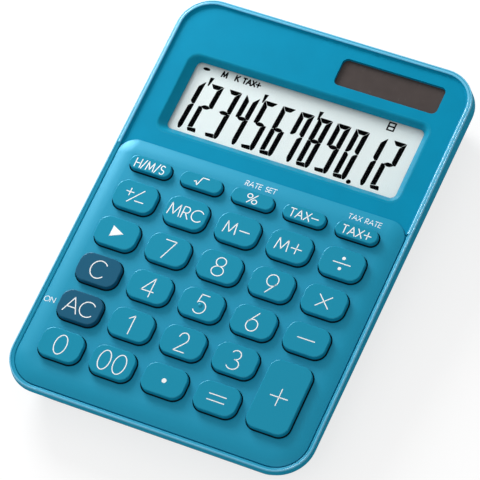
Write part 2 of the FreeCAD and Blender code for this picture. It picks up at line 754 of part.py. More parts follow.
def keys():
    rows = [
        ("key_sign", "key_memory_recall", "key_memory_minus", "key_memory_plus", "key_divide"),
        ("key_shift_back", "key_7", "key_8", "key_9", "key_multiply"),
        ("key_clear", "key_4", "key_5", "key_6", "key_minus"),
        ("key_all_clear", "key_1", "key_2", "key_3"),
        ("key_0", "key_00", "key_point", "key_equals"),
    ]
    for index, labels in enumerate(rows):
        row = f"front_row + {KEY_ROWS - 1 - index} * row_pitch"
        for column, label in enumerate(labels, start=-2):
            key(label, column, row)
    pills = ("key_time", "key_square_root", "key_percent", "key_tax_minus", "key_tax_plus")
    for column, label in enumerate(pills, start=-2):
        key(label, column, "pill_row", "pill_length", "pill_corner")
    key("key_plus", 2, "tall_row", "tall_length", posts=("-row_pitch / 2", "row_pitch / 2"))


# Rear case, battery and feet

def rear_shell(body):
    """The outer wedge, from the flat floor up to the leaning parting plane, hollowed to a wall."""
    lean = "tilt_angle - parting_lean"
    half_floor = ("rear_floor_x", "rear_floor_y", "rear_floor_corner")
    half_top = tuple(f"{half} - rear_step" for half in ("half_width", "half_length", "case_corner"))
    bottom = new_sketch(body, "floor_outline", "foot_height")
    centred_rectangle(bottom, *half_floor)
    top = new_sketch(body, "parting_outline", "parting_level", leant=True, lean=lean)
    centred_rectangle(top, *half_top)
    loft(body, "AdditiveLoft", bottom, top)
    inside_bottom = new_sketch(body, "inside_floor", "rear_inside")
    centred_rectangle(inside_bottom, *(f"{half} - rear_wall" for half in half_floor))
    inside_top = new_sketch(body, "inside_top", "parting_level + rear_step", leant=True, lean=lean)
    centred_rectangle(inside_top, *(f"{half} - rear_wall" for half in half_top))
    loft(body, "SubtractiveLoft", inside_bottom, inside_top)


def screw_towers(body):
    """Tubes from the rear floor to the front case's bosses, with a deep recess for each screw head."""
    for name in ("screw_near", "screw_far"):
        sketch = new_sketch(body, f"{name}_tower", "-boss_depth", leant=True)
        for radius in ("tower_radius", "screw_hole + screw_gap"):
            circle(sketch, radius, "-screw_x", name)
        reach = f"slab_height / cos(tilt_angle) + {name} * tan(tilt_angle) - boss_depth"
        tower = pad(body, sketch, f"{reach} - floor_middle / cos(tilt_angle)", down=True)
        grid(body, tower, "2 * screw_x", 2)
        recess = new_sketch(body, f"{name}_recess", "-screw_head_depth", leant=True)
        circle(recess, "tower_hole", "-screw_x", name)
        grid(body, pocket(body, recess), "2 * screw_x", 2)


def battery_cup(body):
    """A round cup for the cell, open below, with a shallow door recess and a tower for its screw."""
    cup = new_sketch(body, "cup_wall", "floor_middle")
    circle(cup, "cup_radius + cup_wall", "cell_x", "cell_y")
    pad(body, cup, "cell_top + cup_rim - floor_middle")
    tower = new_sketch(body, "door_tower", "floor_middle")
    circle(tower, "door_screw_radius + screw_gap + boss_wall", "door_screw_x", "cell_y")
    pad(body, tower, "door_screw_length + rear_wall")
    bore = new_sketch(body, "cup_bore", "cell_top + cup_rim")
    circle(bore, "cup_radius", "cell_x", "cell_y")
    pocket(body, bore)
    hole = new_sketch(body, "door_screw_hole", "foot_height")
    circle(hole, "door_screw_radius + bite_gap", "door_screw_x", "cell_y")
    pocket(body, hole, "door_screw_length + rear_wall", up=True)
    recess = new_sketch(body, "door_recess", "foot_height")
    rounded_rectangle(recess, "door_left", "door_right", "cell_y - door_reach", "cell_y + door_reach",
                      "door_corner")
    pocket(body, recess, "door_thickness", up=True)


def rear_case():
    body = level_body("rear_case")
    rear_shell(body)
    screw_towers(body)
    battery_cup(body)
    seat = new_sketch(body, "foot_seat", "foot_height")
    circle(seat, "foot_radius + fit_gap", "-foot_x", "foot_front")
    grid(body, pocket(body, seat, "foot_recess", up=True), "2 * foot_x", 2, "foot_rear - foot_front", 2)


def feet():
    sides = {"left": "-foot_x", "right": "foot_x"}
    for end, side in itertools.product(("front", "rear"), sides):
        label = f"foot_{end}_{side}"
        body = level_body(label)
        sketch = new_sketch(body, f"{label}_outline", "foot_height + foot_recess")
        circle(sketch, "foot_radius", sides[side], f"foot_{end}")
        pad(body, sketch, "foot_height + foot_recess", down=True, draft="foot_draft")


def battery_door():
    body = level_body("battery_door")
    outline = new_sketch(body, "door_outline", "foot_height")
    rounded_rectangle(outline, "door_left + door_gap", "door_right - door_gap",
                      "cell_y - door_reach + door_gap", "cell_y + door_reach - door_gap",
                      "door_corner - door_gap")
    pad(body, outline, "door_thickness")
    hole = new_sketch(body, "door_hole", "door_seat")
    circle(hole, "door_screw_radius + screw_gap", "door_screw_x", "cell_y")
    pocket(body, hole, "2 * door_thickness")
    sink = new_sketch(body, "door_sink", "foot_height")
    circle(sink, "door_screw_head + screw_gap", "door_screw_x", "cell_y")
    pocket(body, sink, "door_screw_head_height", up=True)
    pillar = new_sketch(body, "cell_pillar", "door_seat")
    circle(pillar, "pillar_radius", "cell_x", "cell_y")
    pad(body, pillar, "rear_inside - door_seat")


def button_cell():
    body = level_body("button_cell")
    can = new_sketch(body, "cell_can", "cell_bottom")
    circle(can, "cell_radius", "cell_x", "cell_y")
    pad(body, can, "cell_height - cell_cap_height")
    cap = new_sketch(body, "cell_cap", "cell_top - cell_cap_height")
    circle(cap, "cell_cap_radius", "cell_x", "cell_y")
    pad(body, cap, "cell_cap_height")


def battery_contacts():
    """Bent strips down from the board: one presses on the cell's cap, one on its side."""
    half = "contact_width / 2"
    board = "board_under_cell - 2 * fit_gap"
    negative = level_body("battery_negative_contact")
    foot = new_sketch(negative, "negative_foot", "cell_top")
    box_outline(foot, "cell_x - contact_width", "cell_x + contact_width",
                f"cell_y - {half}", f"cell_y + {half}")
    pad(negative, foot, "contact_thickness")
    riser = new_sketch(negative, "negative_riser", "cell_top")
    box_outline(riser, "cell_x + contact_width - contact_thickness", "cell_x + contact_width",
                f"cell_y - {half}", f"cell_y + {half}")
    pad(negative, riser, f"{board} - cell_top")
    positive = level_body("battery_positive_contact")
    side = "cell_x - cell_radius - contact_gap"
    strip = new_sketch(positive, "positive_strip", "cell_bottom + contact_lift")
    box_outline(strip, f"{side} - contact_thickness", side, f"cell_y - {half}", f"cell_y + {half}")
    pad(positive, strip, f"{board} - cell_bottom - contact_lift")
    tab = new_sketch(positive, "positive_tab", f"{board} - contact_thickness")
    box_outline(tab, f"{side} - contact_width", side, f"cell_y - {half}", f"cell_y + {half}")
    pad(positive, tab, "contact_thickness")


# Screws

def screw_solid(body, name, head_level, radius, length, head_radius, head_height, x, y):
    """Round head below the head level and a plain shank above it."""
    head = new_sketch(body, f"{name}_head", head_level)
    circle(head, head_radius, x, y)
    pad(body, head, head_height, down=True)
    shank = new_sketch(body, f"{name}_shank", head_level)
    circle(shank, radius, x, y)
    pad(body, shank, length)


def screw_group(label, x_step, y_step, *screw):
    """Four separate screws of one kind on a rectangle."""
    body = slab_body(label)
    screw_solid(body, label, *screw)
    features = [feature for feature in body.Group if feature.isDerivedFrom("PartDesign::Pad")]
    pattern = grid(body, features[0], x_step, 2, y_step, 2)
    pattern.Originals = features
    doc.recompute()


def screws():
    screw_group("case_screws", "2 * screw_x", "screw_far - screw_near",
                "-screw_head_depth", "screw_radius", "screw_head_depth - screw_tip_gap",
                "screw_head_radius", "screw_head_height", "-screw_x", "screw_near")
    screw_group("board_screws", "2 * board_boss_x", "2 * row_pitch",
                "board_bottom", "board_screw_radius", "board_screw_length",
                "board_screw_head", "board_screw_head_height", "-board_boss_x", "board_boss_front")
    body = level_body("battery_door_screw")
    screw_solid(body, "door_screw", "foot_height + door_screw_head_height", "door_screw_radius",
                "door_screw_length", "door_screw_head", "door_screw_head_height",
                "door_screw_x", "cell_y")


front_case()
display_panel()
display_sheet("display_lens", "window_level", "lens_thickness")
display_sheet("lcd_front_glass", "lens_bottom", "glass_thickness")
display_sheet("lcd_rear_glass", "front_glass_bottom", "glass_thickness", "contact_ledge")
display_sheet("lcd_reflector", "rear_glass_bottom", "reflector_thickness", "contact_ledge")
lcd_holder()
zebra_strip()
solar_parts()
keys()
dome_sheet()
main_board()
board_parts()
rear_case()
feet()
battery_door()
button_cell()
battery_contacts()
screws()
doc.recompute()

for item in doc.Objects:
    if "Invalid" in item.State or "Error" in item.State:
        raise RuntimeError(f"{item.Name} failed: {item.State}")
for piece in pieces:
    if piece.Shape.isNull() or not piece.Shape.isValid():
        raise RuntimeError(f"{piece.Label} has no valid shape")

os.makedirs("parts", exist_ok=True)
for piece in pieces:
    piece.Shape.exportStep(f"parts/{piece.Label}.step")
    box = piece.Shape.BoundBox
    print(f"{piece.Label}: {len(piece.Shape.Solids)} solid(s), {piece.Shape.Volume:.1f} mm3, "
          f"z {box.ZMin:.2f} to {box.ZMax:.2f}")
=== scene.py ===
import json
import math

import bmesh
import bpy
from mathutils import Matrix, Vector
from mathutils.bvhtree import BVHTree


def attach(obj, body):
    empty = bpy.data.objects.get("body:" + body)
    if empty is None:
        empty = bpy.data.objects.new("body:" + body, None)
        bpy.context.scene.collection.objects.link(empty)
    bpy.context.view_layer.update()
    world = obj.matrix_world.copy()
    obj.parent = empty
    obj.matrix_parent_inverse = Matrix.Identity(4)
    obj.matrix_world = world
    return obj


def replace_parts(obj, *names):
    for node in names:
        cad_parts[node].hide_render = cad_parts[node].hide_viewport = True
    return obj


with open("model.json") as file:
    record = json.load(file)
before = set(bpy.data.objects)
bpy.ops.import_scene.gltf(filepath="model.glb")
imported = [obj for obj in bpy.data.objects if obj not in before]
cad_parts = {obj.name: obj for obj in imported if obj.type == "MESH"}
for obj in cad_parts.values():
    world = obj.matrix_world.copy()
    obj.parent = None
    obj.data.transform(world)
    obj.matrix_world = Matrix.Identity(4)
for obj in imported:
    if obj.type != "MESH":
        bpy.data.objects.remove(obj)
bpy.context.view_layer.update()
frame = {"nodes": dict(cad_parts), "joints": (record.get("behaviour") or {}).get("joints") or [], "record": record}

# A desk calculator. Drawn lengths are in millimetres, in the slab's own frame: x to the right, y up
# the slab, and the level above it, all turned with the slab about the row's X axis.
MM = 0.001
PRESS_AXIS = frame["joints"][0]["axis"]
LEAN = math.atan2(PRESS_AXIS[1], -PRESS_AXIS[2])
SLAB = Matrix.Rotation(LEAN, 4, "X")
LEVEL_TOLERANCE = 0.01
SHARP_ANGLE = math.radians(40)

# Key caps: the height and lean of the wall, what it is trimmed and shifted by from the CAD key, the roll
# along the top edge and the flange below
CAP_HEIGHT = 3.85
CAP_LEAN = 0.242
CAP_CORNER = 3.55
CORNER_ROOM = 0.15
CAP_TRIM = (0.27, 0.37)
CAP_SHIFT = (-0.22, 0.3)
TOP_CHAMFER = 0.35
ROLL_IN = 0.3
ROLL_DOWN = 0.26
ROLL_STEPS = 6
FLANGE_REACH = 1.5
FLANGE_THICKNESS = 1.0
CORNER_STEPS = 12
HOLDING_RING = 0.06
# Collars that narrow the openings of the deck to the caps
OPENING_GAP = 0.25
COLLAR_REACH = 0.4
COLLAR_RISE = 0.02
COLLAR_DEPTH = 1.2
# Finger dot on the middle key: its place from the middle of the key's top, radius and height
FINGER_DOT = (-0.07, -0.51, 0.72, 0.3)
DOT_SEGMENTS = 24
DOT_RINGS = 12

# Mouldings along the rim, as steps outwards from the edge of its flat top and levels above that top. The bead
# is an arc on a foot. The shoulder's third number is how much wider it is on the left.
ALL_CORNERS = (0, 1, 2, 3)
BACK_CORNERS = (0, 1)
FRONT_CORNERS = (2, 3)
RIM_RISE = 1.05
RIM_CORNER = 11.5
BEAD = (0.0, -0.22, 0.3, 0.27)
BEAD_FOOT = ((-0.25, -0.5), (0.2, -0.5))
LAND = ((-0.3, -0.05), (-0.45, 0.02), (-0.95, 0.03), (-1.12, -0.03), (-1.21, -0.12), (-1.24, -0.25),
        (-1.24, -1.0), (-0.3, -1.0))
COVE = ((-1.15, -0.5), (-1.26, -0.52), (-1.36, -0.72), (-1.52, -0.92), (-1.75, -1.02), (-1.75, -1.2),
        (-1.15, -1.2))
SHOULDER = ((-0.2, -0.12, 0.0), (-0.75, -0.16, 0.5), (-0.88, -0.22, 0.5), (-0.95, -0.34, 0.5),
            (-0.95, -1.29, 0.5), (-0.2, -1.29, 0.0))

# Bevel round the display window: half its size each way, its corner, its level from the panel's top
# and how far it is moved to the right and away from the user
BEZEL = (
    (43.25, 15.6, 4.05, -0.5, 0.0, 0.0),
    (43.25, 15.6, 4.05, 0.02, 0.0, 0.0),
    (43.0, 15.3, 3.9, 0.0, 0.0, 0.0),
    (42.75, 15.0, 3.75, -0.06, 0.0, 0.0),
    (42.55, 14.75, 3.6, -0.17, 0.0, 0.0),
    (42.38, 14.52, 3.45, -0.35, 0.0, 0.0),
    (42.2, 14.36, 3.3, -0.6, 0.0, 0.0),
    (40.5, 13.2, 2.1, -2.25, 0.2, 0.6),
    (40.32, 13.04, 1.85, -2.5, 0.2, 0.6),
    (40.28, 13.0, 1.8, -2.58, 0.2, 0.6),
    (41.5, 14.5, 2.6, -2.58, 0.0, 0.0),
)

# Prints: widths of the strokes, how the flat outlines become thin sheets, and how finely curves are drawn
STROKE = 0.33
SMALL_STROKE = 0.2
PRINT_LIFT = 0.025
PRINT_THICKNESS = 0.05
CURVE_STEPS = 28
CAP_STEPS = 6
CLOSED_WITHIN = 1e-6
MERGE_WITHIN = 1e-5
MITRE_LIMIT = 0.5
RAY_START = 1.0


def slab_points(name):
    """The vertices of a node in the slab's frame, in millimetres."""
    back = SLAB.inverted()
    return [(back @ vertex.co) / MM for vertex in frame["nodes"][name].data.vertices]


def arc(x, y, half_x, half_y, start, end):
    """Points along an ellipse, anticlockwise for a rising angle."""
    points = []
    for step in range(CURVE_STEPS + 1):
        angle = math.radians(start + (end - start) * step / CURVE_STEPS)
        points.append((x + half_x * math.cos(angle), y + half_y * math.sin(angle)))
    return points


# Glyphs on a box one high: the width of the box, as a fraction of its height, then strokes as points of the
# box. A stroke that ends where it starts is closed. The small letters are signs: p a plus beside words, x a
# cross, r a root and n a frame.
GLYPHS = {
    "0": (0.60, [arc(0.5, 0.5, 0.5, 0.5, 90, 450)]),
    "1": (0.24, [[(0, 0.80), (1, 1)], [(1, 1), (1, 0)]]),
    "2": (0.57, [arc(0.48, 0.71, 0.44, 0.29, 172, -38) + [(0, 0)], [(0, 0), (1, 0)]]),
    "3": (0.58, [arc(0.44, 0.76, 0.42, 0.24, 150, -90), arc(0.44, 0.26, 0.54, 0.26, 90, -148)]),
    "4": (0.66, [[(0.76, 0), (0.76, 1)], [(0.76, 1), (0, 0.28)], [(0, 0.28), (1, 0.28)]]),
    "5": (0.58, [[(0.92, 1), (0.24, 1)], [(0.24, 1), (0.14, 0.56)],
                 arc(0.46, 0.32, 0.54, 0.32, 128, -146)]),
    "6": (0.60, [arc(0.5, 0.31, 0.5, 0.31, 90, 450), [(0.07, 0.45), (0.72, 1)]]),
    "7": (0.58, [[(0, 1), (1, 1)], [(1, 1), (0.24, 0)]]),
    "8": (0.62, [arc(0.5, 0.76, 0.41, 0.24, 90, 450), arc(0.5, 0.26, 0.5, 0.26, 90, 450)]),
    "9": (0.60, [arc(0.5, 0.69, 0.5, 0.31, 90, 450), [(0.93, 0.55), (0.28, 0)]]),
    "A": (0.88, [[(0, 0), (0.5, 1)], [(0.5, 1), (1, 0)], [(0.17, 0.34), (0.83, 0.34)]]),
    "C": (0.88, [arc(0.56, 0.5, 0.56, 0.5, 42, 318)]),
    "E": (0.50, [[(0, 0), (0, 1)], [(0, 1), (1, 1)], [(0, 0.52), (0.9, 0.52)], [(0, 0), (1, 0)]]),
    "H": (0.68, [[(0, 0), (0, 1)], [(1, 0), (1, 1)], [(0, 0.5), (1, 0.5)]]),
    "K": (0.62, [[(0, 0), (0, 1)], [(0, 0.42), (1, 1)], [(0.28, 0.58), (1, 0)]]),
    "M": (0.96, [[(0, 0), (0.13, 1)], [(0.13, 1), (0.5, 0.1)], [(0.5, 0.1), (0.87, 1)],
                 [(0.87, 1), (1, 0)]]),
    "N": (0.74, [[(0, 0), (0, 1)], [(0, 1), (1, 0)], [(1, 0), (1, 1)]]),
    "O": (0.98, [arc(0.5, 0.5, 0.5, 0.5, 90, 450)]),
    "R": (0.56, [[(0, 0), (0, 1)], [(0, 1), (0.52, 1)] + arc(0.52, 0.74, 0.4, 0.26, 90, -90) + [(0, 0.48)],
                 [(0.4, 0.48), (1, 0)]]),
    "S": (0.54, [arc(0.5, 0.75, 0.44, 0.25, 38, 270) + arc(0.5, 0.25, 0.5, 0.25, 90, -142)[1:]]),
    "T": (0.64, [[(0, 1), (1, 1)], [(0.5, 1), (0.5, 0)]]),
    "X": (0.72, [[(0, 0), (1, 1)], [(0, 1), (1, 0)]]),
    "/": (0.42, [[(0, -0.04), (1, 1.04)]]),
    "%": (0.90, [[(0.14, 0), (0.86, 1)], arc(0.22, 0.77, 0.22, 0.23, 90, 450),
                 arc(0.78, 0.23, 0.22, 0.23, 90, 450)]),
    "+": (0.84, [[(0, 0.5), (1, 0.5)], [(0.5, 0), (0.5, 1)]]),
    "p": (0.86, [[(0, 0.5), (1, 0.5)], [(0.5, 0.07), (0.5, 0.93)]]),
    "-": (0.84, [[(0, 0.5), (1, 0.5)]]),
    "x": (1.0, [[(0, 0), (1, 1)], [(0, 1), (1, 0)]]),
    "r": (1.4, [[(0, 0.36), (0.11, 0.46)], [(0.11, 0.46), (0.27, 0)], [(0.27, 0), (0.5, 1)],
                [(0.5, 1), (1, 1)]]),
    "n": (0.8, [[(0, 0), (1, 0), (1, 1), (0, 1), (0, 0)]]),
    " ": (0.42, []),
}
LETTER_SPACE = 0.2

# Words on the keys: text, then the middle and the size of its box, from the middle of the key's top
LEGENDS = {
    "key_time": [("H/M/S", -0.2, 0.05, 10.5, 3.36)],
    "key_square_root": [("r", -0.2, 0.35, 4.7, 3.36)],
    "key_percent": [("%", -0.18, 0.12, 4.07, 3.5)],
    "key_tax_minus": [("TAX-", -0.12, 0.1, 10.07, 3.14)],
    "key_tax_plus": [("TAXp", -0.1, 0.1, 10.14, 3.14)],
    "key_sign": [("+", -2.36, 1.27, 2.86, 2.86), ("/", 0.0, 0.3, 4.57, 5.1),
                 ("-", 1.78, -1.37, 3.29, 1.0)],
    "key_memory_recall": [("MRC", -0.3, 0.25, 11.93, 4.43)],
    "key_memory_minus": [("M", -2.5, 0.22, 4.42, 4.3), ("-", 2.39, 0.06, 3.64, 1.0)],
    "key_memory_plus": [("M", -2.53, 0.22, 4.5, 4.3), ("+", 2.33, 0.06, 3.79, 3.79)],
    "key_divide": [("-", -0.2, 0.2, 6.14, 1.0), (".", -0.2, 2.06, 1.14, 1.14),
                   (".", -0.2, -1.7, 1.14, 1.14)],
    "key_shift_back": [(">", -0.04, 0.4, 4.22, 3.93)],
    "key_7": [("7", -0.2, 0.18, 4.0, 6.86)],
    "key_8": [("8", -0.2, 0.18, 4.36, 6.86)],
    "key_9": [("9", -0.2, 0.18, 4.14, 6.86)],
    "key_multiply": [("x", -0.2, 0.1, 4.57, 4.5)],
    "key_clear": [("C", -0.35, 0.3, 5.3, 6.5)],
    "key_4": [("4", -0.28, 0.16, 4.57, 6.93)],
    "key_5": [("5", -0.15, 0.16, 4.14, 6.93)],
    "key_6": [("6", -0.2, 0.16, 4.14, 6.93)],
    "key_minus": [("-", -0.18, 0.13, 6.07, 1.0)],
    "key_all_clear": [("A", -2.79, 0.18, 5.0, 5.64), ("C", 2.35, 0.18, 5.0, 5.64)],
    "key_1": [("1", -0.68, 0.08, 1.93, 6.86)],
    "key_2": [("2", -0.25, 0.08, 3.93, 6.86)],
    "key_3": [("3", -0.18, 0.08, 4.07, 6.86)],
    "key_0": [("0", -0.25, 0.2, 4.36, 7.1)],
    "key_00": [("0", -2.9, 0.2, 4.21, 7.1), ("0", 2.35, 0.2, 4.43, 7.1)],
    "key_point": [(".", -0.14, 0.07, 1.57, 1.57)],
    "key_equals": [("-", -0.18, 1.14, 6.07, 1.0), ("-", -0.18, -0.93, 6.07, 1.0)],
    "key_plus": [("p", -0.18, 0.11, 6.07, 7.0)],
}

# Words on the deck: text, the key they belong to, and the box from the middle of that key
DECK_WORDS = [
    ("RATE SET", "key_percent", 0.0, 5.85, 10.86, 2.0),
    ("TAX RATE", "key_tax_plus", 0.0, 5.85, 11.36, 2.0),
    ("ON", "key_all_clear", -11.5, 0.4, 4.1, 2.0),
]

# Figures of the display, from the middle of its glass: the cells, then the segments of one figure. LEVEL sizes
# the top segment, SOLE, TOE and HEEL the ones at the foot, and BAR the middle one. TIP and HALF are shares of a
# segment's width, and what ends in GAPS counts gaps between segments.
FIGURES = "123456789012"
SEGMENTS = {"0": "abcdef", "1": "bc", "2": "abged", "3": "abgcd", "4": "fgbc", "5": "afgcd",
            "6": "afgedc", "7": "fabc", "8": "abcdefg", "9": "abcdfg"}
CELL_PITCH = 6.48
FIRST_CELL = -37.6
FIGURE_MIDDLE = -1.6
FIGURE_WIDTH = 4.75
FIGURE_HEIGHT = 18.5
SEGMENT_WIDTH = 1.74
LEVEL_WIDTH = 1.62
LEVEL_REACH = 0.34
SOLE_LEFT = 1.2
SOLE_RIGHT = 1.55
TOE = 0.6
HEEL = (0.42, 1.15)
SEGMENT_GAP = 0.07
TOP_GAPS = 3
FOOT_GAPS = 0.6
SOLE_GAPS = 2
SEGMENT_EASE = 0.2
EASE_MOST = 1 / 3
FIGURE_SLANT = math.tan(math.radians(3.0))
BAR_RISE = 0.45
BAR_TIP = 0.35
BAR_HALF = 0.42
# Commas, signs and the small indicators above the figures
COMMAS = (-33.55, -13.98, 5.66)
COMMA = ((-0.62, 9.7), (0.8, 9.8), (0.1, 6.55), (-0.35, 6.5))
INDICATORS = [("M", -30.1, 12.15, 2.3, 2.5), ("K", -25.55, 12.15, 1.7, 2.5),
              ("TAXp", -20.4, 12.1, 6.7, 2.4), (".", 23.95, -11.0, 1.58, 1.58),
              ("-", 29.2, 11.97, 2.7, 1.0), ("n", 29.2, 11.97, 2.7, 3.3)]
INDICATOR_STROKE = 0.52
SIGN_OVAL = (-36.7, 12.15, 1.25, 0.55)
# Lens over the display: its room above the glass and its corners
LENS_CLEARANCE = 0.1
LENS_CORNER = 0.6

# Stage: the camera, in millimetres, and the lamps and the floor, in metres
CAMERA_LENS = 255.05
CAMERA_AIM = (-0.63, -2.485, 14.26)
CAMERA_DISTANCE = 1077.08
CAMERA_AXES = ((0.89995, 0.41564, -0.13168), (-0.29374, 0.80119, 0.52135), (0.32219, -0.43051, 0.84312))
LAMPS = (("key_light", (-0.31, 0.25, 0.225), 0.22, 2.0), ("fill_light", (0.1, -0.42, 0.55), 0.4, 0.5))
BRIGHT_SIDE = (-0.5, 0.35, 0.79)
WORLD_DARK = 0.12
WORLD_BRIGHT = 0.63
FLOOR_HALF = 12.0
FLOOR_VEIL = (0.3, 0.3, 0.3, 1.0)
FLOOR_GLOW = 0.74

# Finish: the levels between which pearly plastic changes, for the keys by their depths below the key tops, below
# which each key is painted dark as painted shadow in its gap, and the usual sizes of grain and spots
CASE_LEVELS = (18.55, 18.9)
KEY_TOP = max(point.z for point in slab_points("key_5"))
PAINTED_SHADOW_DEPTHS = (1.75, 1.5)
KEY_PAINTED_SHADOW_LEVELS = tuple(KEY_TOP - depth for depth in PAINTED_SHADOW_DEPTHS)
WHITE = (1.0, 1.0, 1.0, 1.0)
SKY = (0.8, 0.9, 1.0, 1.0)
GRAIN = 0.42
GRAIN_HEIGHT = 0.006
SPOTS = 9.0
NOISE_DETAIL = 2.0
NOISE_LOW = 0.3
NOISE_HIGH = 0.7
EVEN = (1.0, 1.0, 1.0)


# Materials

def linear(red, green, blue):
    """A colour as it shows on a screen, sRGB from 0 to 255, as the linear values that a shader takes."""
    channels = []
    for shown in (red, green, blue):
        part = shown / 255
        channels.append(part / 12.92 if part <= 0.04045 else ((part + 0.055) / 1.055) ** 2.4)
    return (*channels, 1.0)


class Surface:
    """A material around one Principled shader, built up node by node."""

    def __init__(self, name, **sockets):
        self.material = bpy.data.materials.new(name)
        self.material.use_nodes = True
        self.tree = self.material.node_tree
        self.shader = self.tree.nodes["Principled BSDF"]
        for socket, number in sockets.items():
            self.shader.inputs[socket.replace("_", " ")].default_value = number
        self.place = self.node("ShaderNodeTexCoord").outputs["Object"]

    def node(self, kind, links=None, **settings):
        """A new node, with its inputs linked to sockets or set to constants."""
        made = self.tree.nodes.new(kind)
        for key, setting in settings.items():
            setattr(made, key, setting)
        for socket, source in (links or {}).items():
            if isinstance(source, bpy.types.NodeSocket):
                self.tree.links.new(source, made.inputs[socket])
            else:
                made.inputs[socket].default_value = source
        return made

    def noise(self, size, stretch=EVEN):
        """Noise whose spots are about this many millimetres across."""
        scale = [part / (size * MM) for part in stretch]
        spread = self.node("ShaderNodeMapping", {"Vector": self.place, "Scale": scale})
        links = {"Vector": spread.outputs[0], "Scale": 1.0, "Detail": NOISE_DETAIL}
        return self.node("ShaderNodeTexNoise", links).outputs["Fac"]

    def ramp(self, factor, stops):
        """Colours for a factor, blended between stops of a position and a colour."""
        made = self.node("ShaderNodeValToRGB", {"Fac": factor})
        points = made.color_ramp.elements
        while len(points) < len(stops):
            points.new(0.5)
        for point, (position, colour) in zip(points, stops):
            point.position = position
            point.color = colour
        return made.outputs["Color"]

    def link(self, source, socket):
        self.tree.links.new(source, self.shader.inputs[socket])

    def mottle(self, colour, size, spread):
        """The base colour, a little lighter and darker in soft spots."""
        darker = [part * (1 - spread) for part in colour[:3]] + [1.0]
        lighter = [min(part * (1 + spread), 1.0) for part in colour[:3]] + [1.0]
        stops = [(NOISE_LOW, darker), (NOISE_HIGH, lighter)]
        self.link(self.ramp(self.noise(size), stops), "Base Color")

    def bump(self, size, height, stretch=EVEN):
        """A fine bump of this height, in millimetres; gives the noise that it follows."""
        spots = self.noise(size, stretch)
        bump = self.node("ShaderNodeBump", {"Height": spots, "Distance": height * MM, "Strength": 1.0})
        self.link(bump.outputs["Normal"], "Normal")
        return spots

    def grain(self, size, height, low, high, stretch=EVEN):
        """A fine bump with a roughness that follows it."""
        span = self.node("ShaderNodeMapRange", {
            "Value": self.bump(size, height, stretch), "From Min": NOISE_LOW, "From Max": NOISE_HIGH,
            "To Min": low, "To Max": high})
        self.link(span.outputs["Result"], "Roughness")


def moulded(name, colour, specular, low, high, grain=GRAIN, height=GRAIN_HEIGHT, spread=0.03, spots=SPOTS):
    """Moulded plastic with a spark-eroded satin grain, or another smooth stuff with a finer one."""
    surface = Surface(name, Specular_IOR_Level=specular)
    surface.mottle(colour, spots, spread)
    surface.grain(grain, height, low, high)
    return surface.material


def pearly(name, specular, levels, colours, roughness):
    """Pearly plastic whose colour and roughness change from a low level of the slab to a high one; the keys' low
    colour is painted shadow.
    """
    surface = Surface(name, Specular_IOR_Level=specular, Metallic=0.1, Specular_Tint=SKY)
    flat = surface.node("ShaderNodeMapping", {"Vector": surface.place, "Rotation": (-LEAN, 0.0, 0.0)})
    level = surface.node("ShaderNodeSeparateXYZ", {"Vector": flat.outputs[0]}).outputs["Z"]
    span = {"Value": level, "From Min": levels[0] * MM, "From Max": levels[1] * MM}
    share = surface.node("ShaderNodeMapRange", span).outputs["Result"]
    surface.link(surface.ramp(share, [(0.0, colours[0]), (1.0, colours[1])]), "Base Color")
    surface.bump(GRAIN, GRAIN_HEIGHT)
    finish = surface.node("ShaderNodeMapRange", {**span, "To Min": roughness[0], "To Max": roughness[1]})
    surface.link(finish.outputs["Result"], "Roughness")
    return surface.material


def metal(name, colour, low, high):
    """Plated metal with a grain drawn along one way."""
    surface = Surface(name, Metallic=1.0)
    surface.mottle(colour, size=1.5, spread=0.06)
    surface.grain(size=0.3, height=0.004, low=low, high=high, stretch=(1.0, 6.0, 1.0))
    return surface.material


def clear_acrylic(name):
    """The display's cover, nearly all see-through."""
    surface = Surface(name, IOR=1.49, Alpha=0.04)
    surface.mottle(linear(20, 24, 24), size=12.0, spread=0.01)
    surface.grain(size=6.0, height=0.0005, low=0.06, high=0.12)
    return surface.material


def zebra_rubber(name):
    """Fine stripes of conducting and plain rubber."""
    surface = Surface(name)
    stripes = surface.node("ShaderNodeTexWave", {"Vector": surface.place, "Scale": 600.0}, bands_direction="X")
    stops = [(0.4, linear(40, 40, 42)), (0.6, linear(190, 120, 120))]
    surface.link(surface.ramp(stripes.outputs["Fac"], stops), "Base Color")
    surface.grain(size=0.3, height=0.01, low=0.6, high=0.8)
    return surface.material


# Painted shadow: every key's lower wall and flange are near-black, standing in for the shade in its gap in the
# deck
KEY_PAINTED_SHADOW = linear(0, 24, 34)
KEY_ROUGHNESS = (0.9, 0.23)
KEY_SPECULAR = 0.32
